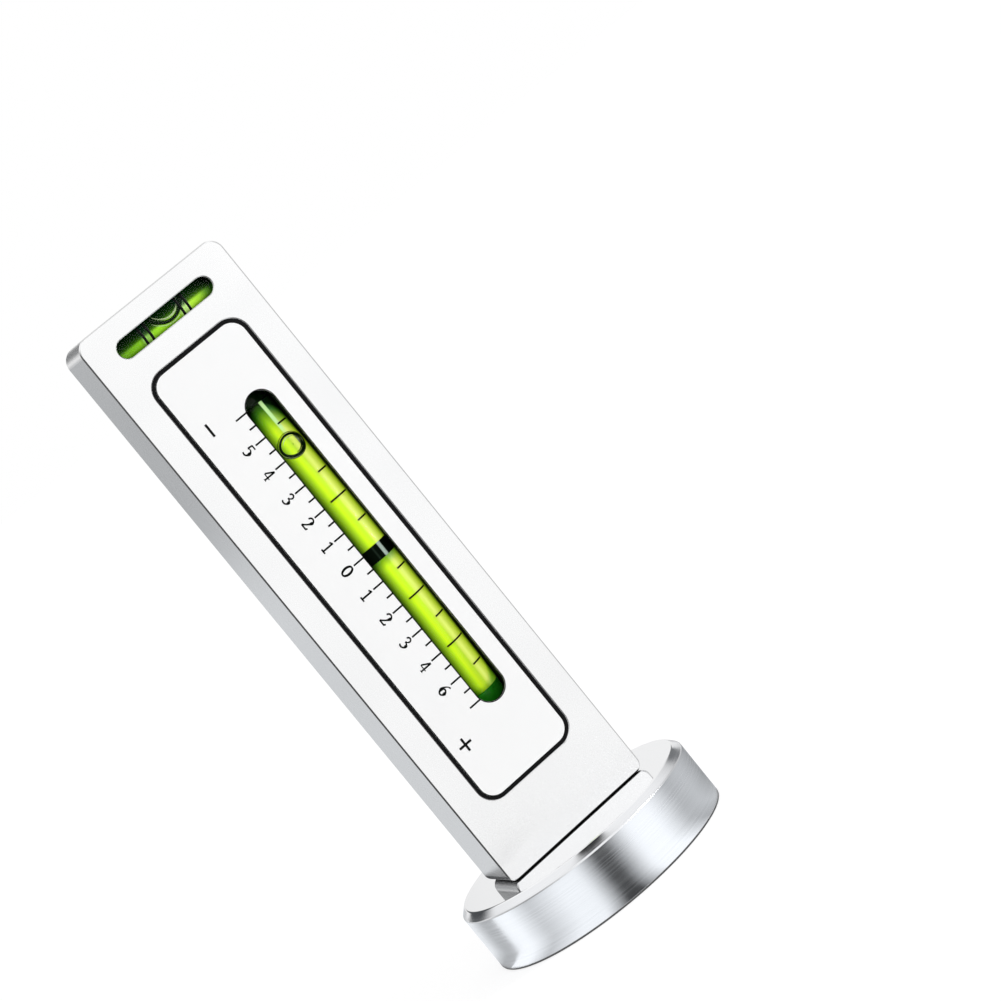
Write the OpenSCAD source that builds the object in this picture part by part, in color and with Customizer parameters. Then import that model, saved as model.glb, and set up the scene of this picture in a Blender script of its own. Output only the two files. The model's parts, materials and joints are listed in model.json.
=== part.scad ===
// Magnetic camber gauge: an aluminium bar on a round pot magnet, with a curved
// camber vial under a graduated plate and a cross level at its free end.
// Millimetres. The origin is the centre of the magnet's contact face, +Z runs
// up the bar, and the dial face looks along -Y.

/* [Body] */
// Width of the bar, side to side
body_width = 36; // [35:0.5:42]
// Thickness of the bar, dial face to back
body_depth = 16; // [15.5:0.5:20]
// Length of the bar above the magnet
body_length = 136; // [122:1:160]
// Radius of the two corners at the free end
end_corner_radius = 3; // [1:0.5:5]
// Radius of the two corners that stand on the magnet
foot_corner_radius = 2; // [1:0.5:4]
// Width of the broken edge round the dial face and the back
edge_break = 0.3; // [0.1:0.1:0.6]
// Width of the broken edge round the recess and the level's window
opening_break = 0.2; // [0.1:0.05:0.3]

/* [Scale plate] */
// Width of the recess that holds the plate and its gasket
recess_width = 23.7; // [22.7:0.1:28]
// Distance of the recess from the foot of the bar
recess_foot_margin = 14.4; // [14:0.2:18]
// Distance of the recess from the free end of the bar
recess_end_margin = 14; // [13:0.2:18]
// Corner radius of the recess
recess_corner_radius = 4.2; // [2.5:0.1:6]
// Thickness of the scale plate
plate_thickness = 1.2; // [0.8:0.1:1.6]
// Depth of the plate's face below the dial face
plate_sink = 0.1; // [0:0.05:0.3]
// Width of the black gasket between plate and recess wall
gasket_width = 0.7; // [0.5:0.05:1]
// Depth of the gasket's face below the dial face
gasket_sink = 0.25; // [0:0.05:0.5]
// Width of the window over the camber vial
window_width = 6.5; // [5:0.1:7.5]
// Lip of the plate over each end of the camber vial
window_lip = 3.25; // [2:0.25:5]

/* [Camber vial] */
// Distance of the vial from the bar's centre line
vial_offset = 3.75; // [3:0.05:4.5]
// Distance of the zero mark above the middle of the recess
zero_offset = 0.4; // [0:0.1:1]
// Spacing of the degree marks along the vial
degree_pitch = 6.08; // [5.8:0.02:6.4]
// Outer diameter of the glass tube
camber_tube_diameter = 9; // [8.6:0.1:9.4]
// Wall of the glass tube
camber_tube_wall = 0.8; // [0.5:0.05:1]
// Distance of the glass tube's ends from the ends of the recess
camber_tube_margin = 11.8; // [9:0.1:13]
// Length of each end plug
camber_plug_length = 6; // [3:0.5:8]
// Diameter of the air bubble
camber_bubble_diameter = 5.4; // [4:0.1:5.8]
// Reading of the bubble at rest, in degrees towards the free end
camber_reading = 4.25; // [0:0.05:5]
// Width of the black band below the zero mark
zero_band_width = 3.2; // [1:0.1:4]
// Thickness of the black band
zero_band_thickness = 0.05; // [0.03:0.01:0.08]
// Thickness of the cradle's side walls
cradle_wall = 0.95; // [0.6:0.05:1.2]
// Thickness of the cradle under the tube's ends
cradle_floor = 0.7; // [0.5:0.1:1]

/* [Level vial] */
// Distance of the level below the free end of the bar
level_drop = 6.65; // [6.4:0.05:7.4]
// Width of the window over the level
level_window_width = 4.15; // [3:0.05:6]
// Length of the window over the level
level_window_length = 23.5; // [20:0.5:25]
// Outer diameter of the level's glass tube
level_tube_diameter = 9; // [8.4:0.1:9.2]
// Wall of the glass tube at its ends
level_tube_wall = 0.9; // [0.7:0.05:1.1]
// Extra bore radius at the middle of the barrel-shaped bore
level_barrel = 0.2; // [0.1:0.05:0.4]
// Length of the glass tube
level_tube_length = 29; // [26:0.5:31]
// Length of each end plug
level_plug_length = 2.5; // [1.5:0.5:3]
// Thickness of the sleeve behind the tube
level_sleeve_wall = 0.45; // [0.3:0.05:0.5]
// Length of the level's bubble
level_bubble_length = 9; // [6:0.5:10]
// Height of the level's bubble
level_bubble_height = 5.6; // [4:0.1:5.8]
// Place of the bubble's middle at rest, to the right of the bar's centre line
level_bubble_place = 1; // [0:0.25:2]
// Distance of each pair of ring lines from the middle
ring_pair_place = 4.75; // [4.5:0.05:7]
// Distance between the two lines of a pair
ring_pair_gap = 1.5; // [1:0.05:2]
// Width of one ring line
ring_line_width = 0.45; // [0.3:0.05:0.6]
// Thickness of a ring line
ring_line_thickness = 0.05; // [0.03:0.01:0.08]
// Thickness of the bar's face over the level's bore
level_face_wall = 1; // [0.8:0.1:1.4]
// Clearance between the level's tube and the plug of its bore
bore_plug_gap = 0.7; // [0.2:0.1:1]

/* [Magnet] */
// Diameter of the steel cup
cup_diameter = 56; // [46:1:70]
// Height of the steel cup
cup_height = 14; // [13:0.5:18]
// Width of the bevel round the cup's top
cup_bevel = 1.5; // [0.5:0.1:2.5]
// Width of the broken edge round the cup's contact face
cup_foot_break = 0.3; // [0.1:0.1:0.6]
// Wall of the cup
cup_wall = 3; // [2:0.5:5]
// Thickness of the cup's top
cup_top = 5; // [4:0.5:6]
// Width of the potting between cup and magnet
potting_width = 2; // [1:0.25:4]
// Bore of the ring magnet
magnet_bore = 20; // [18:0.5:24]
// Depth of the magnet and its potting below the contact face
magnet_sink = 0.3; // [0.1:0.1:0.8]
// Clearance between the magnet and the steel core
core_gap = 1; // [0.5:0.25:2]

/* [Fasteners] */
// Thread diameter of the base screw
screw_diameter = 6; // [5:0.5:6]
// Head diameter of the base screw
screw_head_diameter = 10; // [9:0.5:10.5]
// Head height of the base screw
screw_head_height = 4; // [3:0.5:4.5]
// Depth of the screw head below the contact face
screw_sink = 0.8; // [0.5:0.1:1]
// Length of thread in the bar
screw_grip = 10; // [8:0.5:10.5]
// Depth of the threaded hole past the screw's end
thread_run_out = 1.5; // [0.5:0.5:2]
// Hexagon socket, across flats
socket_size = 4; // [3:0.5:5]
// Depth of the hexagon socket
socket_depth = 2.2; // [1.5:0.1:2.5]
// Thickness of the lock washer
washer_thickness = 1.2; // [1:0.1:1.4]
// Diameter of the two dowel pins
dowel_diameter = 3; // [2:0.5:4]
// Length of a dowel pin
dowel_length = 9; // [7:0.5:11]
// Depth of each dowel pin in the cup's top
dowel_depth = 3.5; // [2:0.5:3.5]
// Distance of each dowel pin from the centre
dowel_place = 11; // [9:0.5:12]

/* [Hidden] */

// Clearance of each piece that slips over or into another
fit_gap = 0.05;
// Clearance between the camber tube and the back of the plate
plate_gap = 0.1;
// Clearance of a bubble from the liquid and the glass
bubble_gap = 0.05;
// Clearance round the screw's head
head_gap = 0.3;
// Share of its radius by which a tube stands out in front of its bed
bed_share = 0.25;
// A cut runs this far past the face that it opens
past = 1;
// Trim that keeps two curves from meeting in a point
trim = 0.01;
// Number of sides of a drawn circle
$fn = 96;
// Number of sides of the cup
cup_sides = 180;
// Number of sides of the full circle of the camber vial's arc
arc_sides = 720;

// The bar
foot_z = cup_height;
end_z = foot_z + body_length;
face_y = -body_depth / 2;
side_x = body_width / 2;

// Plate and recess, seen on the dial face
recess_length = body_length - recess_foot_margin - recess_end_margin;
recess_z = foot_z + recess_foot_margin + recess_length / 2;
zero_z = recess_z + zero_offset;
plate_y = face_y + plate_sink;
recess_floor_y = plate_y + plate_thickness;
plate_width = recess_width - 2 * gasket_width;
plate_length = recess_length - 2 * gasket_width;
plate_corner_radius = recess_corner_radius - gasket_width;

// Camber vial: the tube's centre line is an arc that bulges to the dial face,
// so that one degree of tilt moves the bubble by one mark
tube_r = camber_tube_diameter / 2;
bore_r = tube_r - camber_tube_wall;
curve_r = degree_pitch / tan(1);
crown_y = recess_floor_y + plate_gap + tube_r;
curve_y = crown_y + curve_r;
camber_tube_length = recess_length - 2 * camber_tube_margin;
window_length = camber_tube_length - 2 * window_lip;
tube_half = camber_tube_length / 2 / curve_r * 180 / PI;
plug_angle = camber_plug_length / curve_r * 180 / PI;
liquid_half = tube_half - plug_angle;
band_angle = zero_band_width / curve_r * 180 / PI;
bubble_r = camber_bubble_diameter / 2;
bubble_rise = bore_r - bubble_r - bubble_gap;
tube_end_y = curve_y - curve_r * cos(tube_half);
trough_r = tube_r + zero_band_thickness + fit_gap;
pocket_width = 2 * (trough_r + cradle_wall);
pocket_length = 2 * (curve_r + tube_r) * sin(tube_half) + 2 * cradle_wall;
pocket_floor_y = tube_end_y + trough_r + cradle_floor;
cradle_face_y = crown_y + bed_share * tube_r;

// Level vial, along X
level_z = end_z - level_drop;
level_window_r = level_window_width / 2 - trim;
level_tube_r = level_tube_diameter / 2;
level_bore_end_r = level_tube_r - level_tube_wall;
level_bore_mid_r = level_bore_end_r + level_barrel;
sleeve_inner_r = level_tube_r + ring_line_thickness + fit_gap;
sleeve_outer_r = sleeve_inner_r + level_sleeve_wall;
level_y = face_y + level_face_wall + sleeve_outer_r;
level_inner_half = level_tube_length / 2 - level_plug_length;
level_bubble_r = level_bubble_height / 2;
level_bubble_lift = level_bore_end_r - level_bubble_r - bubble_gap;
level_bore_start_x = -level_tube_length / 2 - fit_gap;
bore_plug_x = level_tube_length / 2 + bore_plug_gap;

// Magnet, from the contact face up
cup_r = cup_diameter / 2;
cavity_r = cup_r - cup_wall;
cavity_height = cup_height - cup_top;
magnet_r = cavity_r - potting_width;
core_r = magnet_bore / 2 - core_gap;

// Base screw, from the contact face up
screw_r = screw_diameter / 2;
head_r = screw_head_diameter / 2;
head_top_z = screw_sink + screw_head_height;
washer_top_z = head_top_z + washer_thickness;
screw_end_z = foot_z + screw_grip;
counterbore_r = head_r + head_gap;
screw_hole_r = screw_r + fit_gap;
dowel_r = dowel_diameter / 2;
dowel_foot_z = foot_z - dowel_depth;
dowel_top_z = dowel_foot_z + dowel_length;

// Outline with round corners, centred, in the plane of the dial face
module round_rect(w, h, r) {
    square([w - 2 * r, h], center = true);
    square([w, h - 2 * r], center = true);
    for (sx = [-1, 1], sz = [-1, 1])
        translate([sx * (w / 2 - r), sz * (h / 2 - r)])
            circle(r);
}

// Extrudes an outline in X and Z backwards, from y0 to y1
module dial_extrude(y0, y1) {
    translate([0, y1, 0])
        rotate([90, 0, 0])
            linear_extrude(y1 - y0)
                children();
}

// Cut that breaks the edge of a round-cornered opening in the dial face
module broken_opening(w, h, r) {
    inner_y = face_y + opening_break;
    outer_y = face_y - trim;
    grow = opening_break + trim;
    for (side = [[w, h, 0], [h, w, 90]])
        rotate([0, side[2], 0])
            translate([0, 0, r - side[1] / 2])
                linear_extrude(side[1] - 2 * r)
                    polygon([[-side[0] / 2, inner_y], [side[0] / 2, inner_y],
                             [side[0] / 2 + grow, outer_y], [-side[0] / 2 - grow, outer_y]]);
    for (sx = [-1, 1], sz = [-1, 1])
        translate([sx * (w / 2 - r), inner_y, sz * (h / 2 - r)])
            rotate([90, 0, 0])
                cylinder(h = grow, r1 = r, r2 = r + grow);
}

// Rod along X with a round section
module rod_x(x0, x1, r) {
    translate([x0, 0, 0])
        rotate([0, 90, 0])
            cylinder(h = x1 - x0, r = r);
}

// Slab whose four long edges are broken, w wide and d deep, h high
module broken_slab(w, d, h, c) {
    linear_extrude(h)
        polygon([[-w / 2 + c, -d / 2], [w / 2 - c, -d / 2],
                 [w / 2, -d / 2 + c], [w / 2, d / 2 - c],
                 [w / 2 - c, d / 2], [-w / 2 + c, d / 2],
                 [-w / 2, d / 2 - c], [-w / 2, -d / 2 + c]]);
}

// Post of radius r with broken ends, along Y, d long
module broken_post(r, d, c) {
    rotate([90, 0, 0]) {
        cylinder(h = d - 2 * c, r = r, center = true);
        translate([0, 0, d / 2 - c])
            cylinder(h = c, r1 = r, r2 = r - c);
        translate([0, 0, -d / 2])
            cylinder(h = c, r1 = r - c, r2 = r);
    }
}

// One end of the bar: a cross slab between two corner posts of radius r
module bar_end(z, r, side) {
    for (sx = [-1, 1])
        translate([sx * (side_x - r), 0, z - side * r])
            broken_post(r, body_depth, edge_break);
    reach = body_length / 2;
    translate([-(side_x - r), 0, z - side * reach / 2])
        rotate([0, 90, 0])
            broken_slab(reach, body_depth, body_width - 2 * r, edge_break);
}

// The bar without its recesses: broken edges front and back, round corners
module bar_blank() {
    bar_end(end_z, end_corner_radius, 1);
    bar_end(foot_z, foot_corner_radius, -1);
    translate([0, 0, foot_z + foot_corner_radius])
        broken_slab(body_width, body_depth,
                    body_length - foot_corner_radius - end_corner_radius, edge_break);
}

// Sweeps a profile along the camber vial's arc, from a0 to a1 degrees of
// reading. The profile's first axis points to the dial face.
module vial_sweep(a0, a1) {
    translate([vial_offset, curve_y, zero_z])
        rotate([90, 0, -90])
            rotate_extrude(angle = a1 - a0, start = a0, $fn = arc_sides)
                translate([curve_r, 0])
                    children();
}

// Solid of revolution about X whose outline bows out by a shallow parabola
module barrel_x(half, mid_r, end_r) {
    steps = 6;
    bow = mid_r - end_r;
    rotate([0, 90, 0])
        rotate_extrude()
            polygon([[0, -half],
                     for (i = [-steps:steps])
                         [mid_r - bow * pow(i / steps, 2), half * i / steps],
                     [0, half]]);
}

// Egg-shaped solid of revolution about X
module ellipsoid_x(half, r) {
    steps = 16;
    rotate([0, 90, 0])
        rotate_extrude($fn = 48)
            polygon([for (i = [0:steps])
                [r * sin(180 * i / steps), -half * cos(180 * i / steps)]]);
}

// Moves to the axis of the level vial
module at_level() {
    translate([0, level_y, level_z])
        children();
}

// Moves to the axis along which the level's bubble floats, up against the glass
module at_level_bubble() {
    translate([0, level_y, level_z + level_bubble_lift])
        children();
}

// Window over the camber vial
module camber_window() {
    translate([vial_offset, zero_z])
        round_rect(window_width, window_length, window_width / 2 - trim);
}

module gauge_body() color("gainsboro") difference() {
    bar_blank();
    // recess of the plate and its gasket
    dial_extrude(face_y - past, recess_floor_y)
        translate([0, recess_z])
            round_rect(recess_width, recess_length, recess_corner_radius);
    translate([0, 0, recess_z])
        broken_opening(recess_width, recess_length, recess_corner_radius);
    // pocket of the camber vial and its cradle
    dial_extrude(recess_floor_y - past, pocket_floor_y)
        translate([vial_offset, zero_z])
            square([pocket_width, pocket_length], center = true);
    // bore of the level, drilled from the right and stopped before the left
    at_level()
        rod_x(level_bore_start_x, side_x + past, sleeve_outer_r);
    // window over the level
    dial_extrude(face_y - past, level_y)
        translate([0, level_z])
            round_rect(level_window_length, level_window_width, level_window_r);
    translate([0, 0, level_z])
        broken_opening(level_window_length, level_window_width, level_window_r);
    // thread of the base screw
    translate([0, 0, foot_z - past])
        cylinder(h = screw_grip + thread_run_out + past, r = screw_hole_r);
    // seats of the dowel pins
    for (sx = [-1, 1])
        translate([sx * dowel_place, 0, foot_z - past])
            cylinder(h = dowel_top_z - foot_z + past + fit_gap, r = dowel_r + fit_gap);
}

module scale_plate() color("white") difference() {
    dial_extrude(plate_y, recess_floor_y)
        translate([0, recess_z])
            round_rect(plate_width, plate_length, plate_corner_radius);
    dial_extrude(plate_y - past, recess_floor_y + past)
        camber_window();
}

module plate_gasket() color("black") difference() {
    dial_extrude(face_y + gasket_sink, recess_floor_y)
        translate([0, recess_z])
            round_rect(recess_width, recess_length, recess_corner_radius);
    dial_extrude(face_y - past, recess_floor_y + past)
        translate([0, recess_z])
            round_rect(plate_width, plate_length, plate_corner_radius);
}

module camber_cradle() color("darkolivegreen") difference() {
    dial_extrude(cradle_face_y, pocket_floor_y)
        translate([vial_offset, zero_z])
            square([pocket_width - 2 * fit_gap, pocket_length - 2 * fit_gap],
                   center = true);
    // trough that the curved tube beds in, open to the front
    vial_sweep(-tube_half - trim, tube_half + trim) {
        circle(trough_r);
        translate([0, -trough_r])
            square([tube_r * 2, 2 * trough_r]);
    }
}

module camber_tube() color("yellowgreen", 0.4)
    vial_sweep(-tube_half, tube_half)
        difference() {
            circle(tube_r);
            circle(bore_r);
        }

module camber_fluid() color("greenyellow", 0.7)
    vial_sweep(-liquid_half, liquid_half)
        difference() {
            circle(bore_r);
            // the channel that the bubble travels in, open to the front
            translate([bubble_rise, 0])
                circle(bubble_r + bubble_gap);
            translate([bubble_rise, -bubble_r / 2])
                square([bore_r, bubble_r]);
        }

module camber_plug(a0, a1)
    vial_sweep(a0, a1)
        circle(bore_r);

module camber_plug_top() color("darkgreen")
    camber_plug(liquid_half, tube_half);

module camber_plug_bottom() color("darkgreen")
    camber_plug(-tube_half, -liquid_half);

module zero_band() color("black")
    vial_sweep(-band_angle, 0)
        difference() {
            circle(tube_r + zero_band_thickness);
            circle(tube_r);
        }

module camber_bubble() color("honeydew", 0.6)
    translate([vial_offset,
               curve_y - (curve_r + bubble_rise) * cos(camber_reading),
               zero_z + (curve_r + bubble_rise) * sin(camber_reading)])
        sphere(bubble_r);

module level_sleeve() color("darkolivegreen") at_level() difference() {
    rod_x(-level_tube_length / 2, level_tube_length / 2, sleeve_outer_r - fit_gap);
    rod_x(-level_tube_length, level_tube_length, sleeve_inner_r);
    // open towards the window
    translate([-level_tube_length, -sleeve_outer_r - past, -sleeve_outer_r - past])
        cube([2 * level_tube_length,
              sleeve_outer_r + past - bed_share * level_tube_r,
              2 * (sleeve_outer_r + past)]);
}

module level_tube() color("yellowgreen", 0.4) at_level() difference() {
    rod_x(-level_tube_length / 2, level_tube_length / 2, level_tube_r);
    barrel_x(level_inner_half, level_bore_mid_r, level_bore_end_r);
    for (sx = [-1, 1])
        translate([sx * (level_tube_length / 2), 0, 0])
            rod_x(-level_plug_length, level_plug_length, level_bore_end_r);
}

module level_fluid() color("greenyellow", 0.7) difference() {
    at_level()
        barrel_x(level_inner_half, level_bore_mid_r, level_bore_end_r);
    // the channel that the bubble travels in, open to the top of the bore
    at_level_bubble() {
        rod_x(-level_tube_length, level_tube_length, level_bubble_r + bubble_gap);
        translate([-level_tube_length, -level_bubble_r / 2, 0])
            cube([2 * level_tube_length, level_bubble_r, level_tube_r]);
    }
}

module level_plug(sx) at_level()
    translate([sx * (level_tube_length / 2 - level_plug_length / 2), 0, 0])
        rod_x(-level_plug_length / 2, level_plug_length / 2, level_bore_end_r);

module level_plug_left() color("darkgreen")
    level_plug(-1);

module level_plug_right() color("darkgreen")
    level_plug(1);

module level_ring_lines() color("black") at_level()
    for (sx = [-1, 1], so = [-1, 1])
        translate([sx * ring_pair_place + so * ring_pair_gap / 2, 0, 0])
            difference() {
                rod_x(-ring_line_width / 2, ring_line_width / 2,
                      level_tube_r + ring_line_thickness);
                rod_x(-ring_line_width, ring_line_width, level_tube_r);
            }

module level_bubble() color("honeydew", 0.6) at_level_bubble()
    translate([level_bubble_place, 0, 0])
        ellipsoid_x(level_bubble_length / 2, level_bubble_r);

module level_bore_plug() color("silver") at_level()
    rod_x(bore_plug_x, side_x, sleeve_outer_r - fit_gap);

module magnet_cup() color("silver") difference() {
    rotate_extrude($fn = cup_sides)
        polygon([[0, 0], [cup_r - cup_foot_break, 0], [cup_r, cup_foot_break],
                 [cup_r, cup_height - cup_bevel],
                 [cup_r - cup_bevel, cup_height], [0, cup_height]]);
    // cavity of the magnet
    translate([0, 0, -past])
        cylinder(h = cavity_height + past, r = cavity_r);
    // hole of the base screw
    cylinder(h = cup_height + past, r = screw_hole_r);
    // seats of the dowel pins
    for (sx = [-1, 1])
        translate([sx * dowel_place, 0, dowel_foot_z - fit_gap])
            cylinder(h = cup_top + past, r = dowel_r + fit_gap);
}

module ring_magnet() color("dimgray")
    translate([0, 0, magnet_sink])
        difference() {
            cylinder(h = cavity_height - magnet_sink, r = magnet_r);
            translate([0, 0, -past])
                cylinder(h = cavity_height + 2 * past, r = magnet_bore / 2);
        }

module pole_core() color("silver") difference() {
    cylinder(h = cavity_height, r = core_r);
    translate([0, 0, -past])
        cylinder(h = washer_top_z + past, r = counterbore_r);
    cylinder(h = cavity_height + past, r = screw_hole_r);
}

module potting_ring() color("black")
    translate([0, 0, magnet_sink])
        difference() {
            cylinder(h = cavity_height - magnet_sink, r = cavity_r);
            translate([0, 0, -past])
                cylinder(h = cavity_height + 2 * past, r = magnet_r);
        }

module base_screw() color("dimgray") difference() {
    union() {
        translate([0, 0, screw_sink])
            cylinder(h = screw_head_height, r = head_r);
        translate([0, 0, screw_sink])
            cylinder(h = screw_end_z - screw_sink, r = screw_r);
    }
    // hexagon socket
    translate([0, 0, screw_sink - past])
        cylinder(h = socket_depth + past, d = socket_size / cos(30), $fn = 6);
}

module lock_washer() color("silver")
    translate([0, 0, head_top_z])
        difference() {
            cylinder(h = washer_thickness, r = head_r);
            translate([0, 0, -past])
                cylinder(h = washer_thickness + 2 * past, r = screw_hole_r);
        }

module dowel_pins() color("dimgray")
    for (sx = [-1, 1])
        translate([sx * dowel_place, 0, dowel_foot_z])
            cylinder(h = dowel_length, r = dowel_r);

gauge_body();
scale_plate();
plate_gasket();
camber_cradle();
camber_tube();
camber_fluid();
camber_plug_top();
camber_plug_bottom();
zero_band();
camber_bubble();
level_sleeve();
level_tube();
level_fluid();
level_plug_left();
level_plug_right();
level_ring_lines();
level_bubble();
level_bore_plug();
magnet_cup();
ring_magnet();
pole_core();
potting_ring();
base_screw();
lock_washer();
dowel_pins();
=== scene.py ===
"""Looks of the magnetic camber gauge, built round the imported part.

Finishes, the glass vials with their liquids and bubbles, print, camera, studio and light.
"""

import json
import math

import bpy
from mathutils import Matrix, Vector

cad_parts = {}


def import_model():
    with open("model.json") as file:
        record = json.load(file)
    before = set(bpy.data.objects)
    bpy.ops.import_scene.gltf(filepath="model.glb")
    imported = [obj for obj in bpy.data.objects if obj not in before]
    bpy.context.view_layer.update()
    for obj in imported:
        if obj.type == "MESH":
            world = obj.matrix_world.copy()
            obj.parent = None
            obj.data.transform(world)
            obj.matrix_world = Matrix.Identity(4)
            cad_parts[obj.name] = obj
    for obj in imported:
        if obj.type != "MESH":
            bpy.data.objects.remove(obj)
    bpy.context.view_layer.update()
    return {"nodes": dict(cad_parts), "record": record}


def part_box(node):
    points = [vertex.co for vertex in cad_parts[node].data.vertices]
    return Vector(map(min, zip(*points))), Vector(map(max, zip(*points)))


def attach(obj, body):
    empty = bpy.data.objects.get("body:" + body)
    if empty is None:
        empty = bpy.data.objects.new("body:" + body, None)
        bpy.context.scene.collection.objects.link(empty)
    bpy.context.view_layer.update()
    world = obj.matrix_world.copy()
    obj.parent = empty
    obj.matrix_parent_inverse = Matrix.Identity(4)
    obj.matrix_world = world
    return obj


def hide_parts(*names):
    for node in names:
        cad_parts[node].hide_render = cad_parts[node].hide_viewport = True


MM = 0.001

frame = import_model()
nodes = frame["nodes"]


def box_mm(node):
    """Lowest corner, highest corner and middle of a CAD node, each (x, y, z) in millimetres."""
    low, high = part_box(node)
    return [[round(c / MM, 2) for c in corner] for corner in (low, high, (low + high) / 2)]


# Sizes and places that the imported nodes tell
(_, FACE_Y, _), (BAR_HALF_W, _, END_Z), _ = box_mm("gauge_body")
(_, PLATE_Y, PLATE_FOOT_Z), (PLATE_HALF_W, _, PLATE_TOP_Z), _ = box_mm("scale_plate")
_, (CUP_R, _, CUP_H), _ = box_mm("magnet_cup")
_, (CUP_INNER_R, _, CUP_INNER_H), _ = box_mm("potting_ring")
(_, TUBE_FRONT_Y, _), _, (VIAL_X, _, ZERO_Z) = box_mm("camber_tube")
(_, _, LEVEL_FOOT_Z), (LEVEL_TUBE_HALF, _, _), _ = box_mm("level_tube")
_, (LEVEL_LIQUID_HALF, _, _), _ = box_mm("level_fluid")
_, _, (_, LEVEL_Y, LEVEL_Z) = box_mm("level_ring_lines")
TUBE_R = LEVEL_Z - LEVEL_FOOT_Z

# The others, in millimetres, as the part's source has them
CUP_BEVEL = 1.5
CUP_HOLE_R = 3.05
RING_PAIR_X = 4.75
RING_HALF_GAP = 0.75

# The camber vial: its marks, half its length and its liquid's, the reading and the curve
PITCH = 6.08
TUBE_HALF = 42
LIQUID_HALF = 36
READING = 4.25
CURVE_R = PITCH / math.tan(math.radians(1))
CURVE_Y = TUBE_FRONT_Y + TUBE_R + CURVE_R
# Degrees of the curve for each millimetre along it
ARC_MM = math.degrees(1 / CURVE_R)

# Places as the photo shows them: the black band stands a little above its solid
BAND_FOOT_Z = 79.85
BAND_TOP_Z = 83.05
# Side of the vial's middle at which the painted highlight line runs
PAINTED_GLINT_SIDE = 1.15

# The liquids fill the glass to the eye, because the glass magnifies its bore
SEEN_R = 4.15
LEVEL_SEEN_R = 3.95

# Print, bands and the bubbles' lines stand this far off what carries them
PRINT_LIFT = 0.03
BAND_LIFT = 0.05
RIM_LIFT = 0.02
SEAM = 0.005


# ---------------------------------------------------------------- materials

class Nodes:
    """Short calls for the nodes of a tree, whose textures read one set of coordinates."""

    def __init__(self, tree, coordinates):
        self.t = tree
        self.at = self.node("ShaderNodeTexCoord").outputs[coordinates]

    def node(self, kind, **settings):
        """A new node with its settings."""
        n = self.t.nodes.new(kind)
        for key, value in settings.items():
            setattr(n, key, value)
        return n

    def feed(self, socket, value):
        """Gives a socket a link to another socket, or a value of its own."""
        if isinstance(value, bpy.types.NodeSocket):
            self.t.links.new(value, socket)
        else:
            socket.default_value = value

    def noise(self, scale, detail=3.0, stretch=(1, 1, 1), rough=0.5):
        """Noise with features of scale millimetres, longer along an axis by its stretch."""
        mapping = self.node("ShaderNodeMapping")
        self.feed(mapping.inputs["Vector"], self.at)
        mapping.inputs["Scale"].default_value = [1000 / scale / s for s in stretch]
        n = self.node("ShaderNodeTexNoise")
        n.inputs["Scale"].default_value = 1.0
        n.inputs["Detail"].default_value = detail
        n.inputs["Roughness"].default_value = rough
        self.feed(n.inputs["Vector"], mapping.outputs["Vector"])
        return n.outputs["Fac"]

    def math(self, operation, a, b=0.0):
        """The result of one operation on numbers."""
        n = self.node("ShaderNodeMath", operation=operation)
        for socket, value in zip(n.inputs, (a, b)):
            self.feed(socket, value)
        return n.outputs[0]

    def product(self, first, *others):
        """Numbers multiplied together."""
        for other in others:
            first = self.math("MULTIPLY", first, other)
        return first

    def span(self, value, low, high, to_low=0.0, to_high=1.0, smooth=False):
        """Carries the range from low to high over to another range, clamped at its ends."""
        n = self.node("ShaderNodeMapRange")
        if smooth:
            n.interpolation_type = "SMOOTHSTEP"
        for key, v in (("Value", value), ("From Min", low), ("From Max", high),
                       ("To Min", to_low), ("To Max", to_high)):
            self.feed(n.inputs[key], v)
        return n.outputs["Result"]

    def window(self, value, low, full, end, high):
        """1 where the value lies between full and end, fading out at low and at high."""
        return self.product(self.span(value, low, full, smooth=True),
                            self.span(value, high, end, smooth=True))

    def mix(self, factor, a, b, blend="MIX"):
        """Colour a with a share of colour b, or with b blended in another way."""
        n = self.node("ShaderNodeMix", data_type="RGBA", blend_type=blend)
        self.feed(n.inputs["Factor"], factor)
        for key, v in (("A", a), ("B", b)):
            socket = [s for s in n.inputs if s.name == key and s.type == "RGBA"][0]
            self.feed(socket, v if isinstance(v, bpy.types.NodeSocket) else (*v, 1))
        return [s for s in n.outputs if s.type == "RGBA"][0]

    def scaled(self, colour, *others):
        """A colour multiplied by other colours."""
        for other in others:
            colour = self.mix(1.0, colour, other, "MULTIPLY")
        return colour

    def ramp(self, factor, stops):
        """Colour by a number from 0 to 1, from stops of (place, colour)."""
        n = self.node("ShaderNodeValToRGB")
        self.feed(n.inputs["Fac"], factor)
        ramp = n.color_ramp
        while len(ramp.elements) < len(stops):
            ramp.elements.new(0.5)
        for element, (place, colour) in zip(ramp.elements, stops):
            element.position = place
            element.color = (*colour, 1)
        return n.outputs["Color"]

    def axis(self, name):
        """One coordinate: X, Y or Z."""
        n = self.node("ShaderNodeSeparateXYZ")
        self.feed(n.inputs[0], self.at)
        return n.outputs[name]

    def off(self, name, centre):
        """Distance from a place on an axis, the place in millimetres."""
        return self.math("ABSOLUTE", self.math("SUBTRACT", self.axis(name), centre * MM))

    def shader(self, kind, **sockets):
        """A shader node with its sockets fed."""
        n = self.node("ShaderNode" + kind)
        for key, value in sockets.items():
            self.feed(n.inputs[key], value)
        return n.outputs[0]

    def blend(self, share, first, second):
        """The first shader, with a share of the second."""
        n = self.node("ShaderNodeMixShader")
        for socket, value in zip(n.inputs, (share, first, second)):
            self.feed(socket, value)
        return n.outputs[0]


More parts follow.
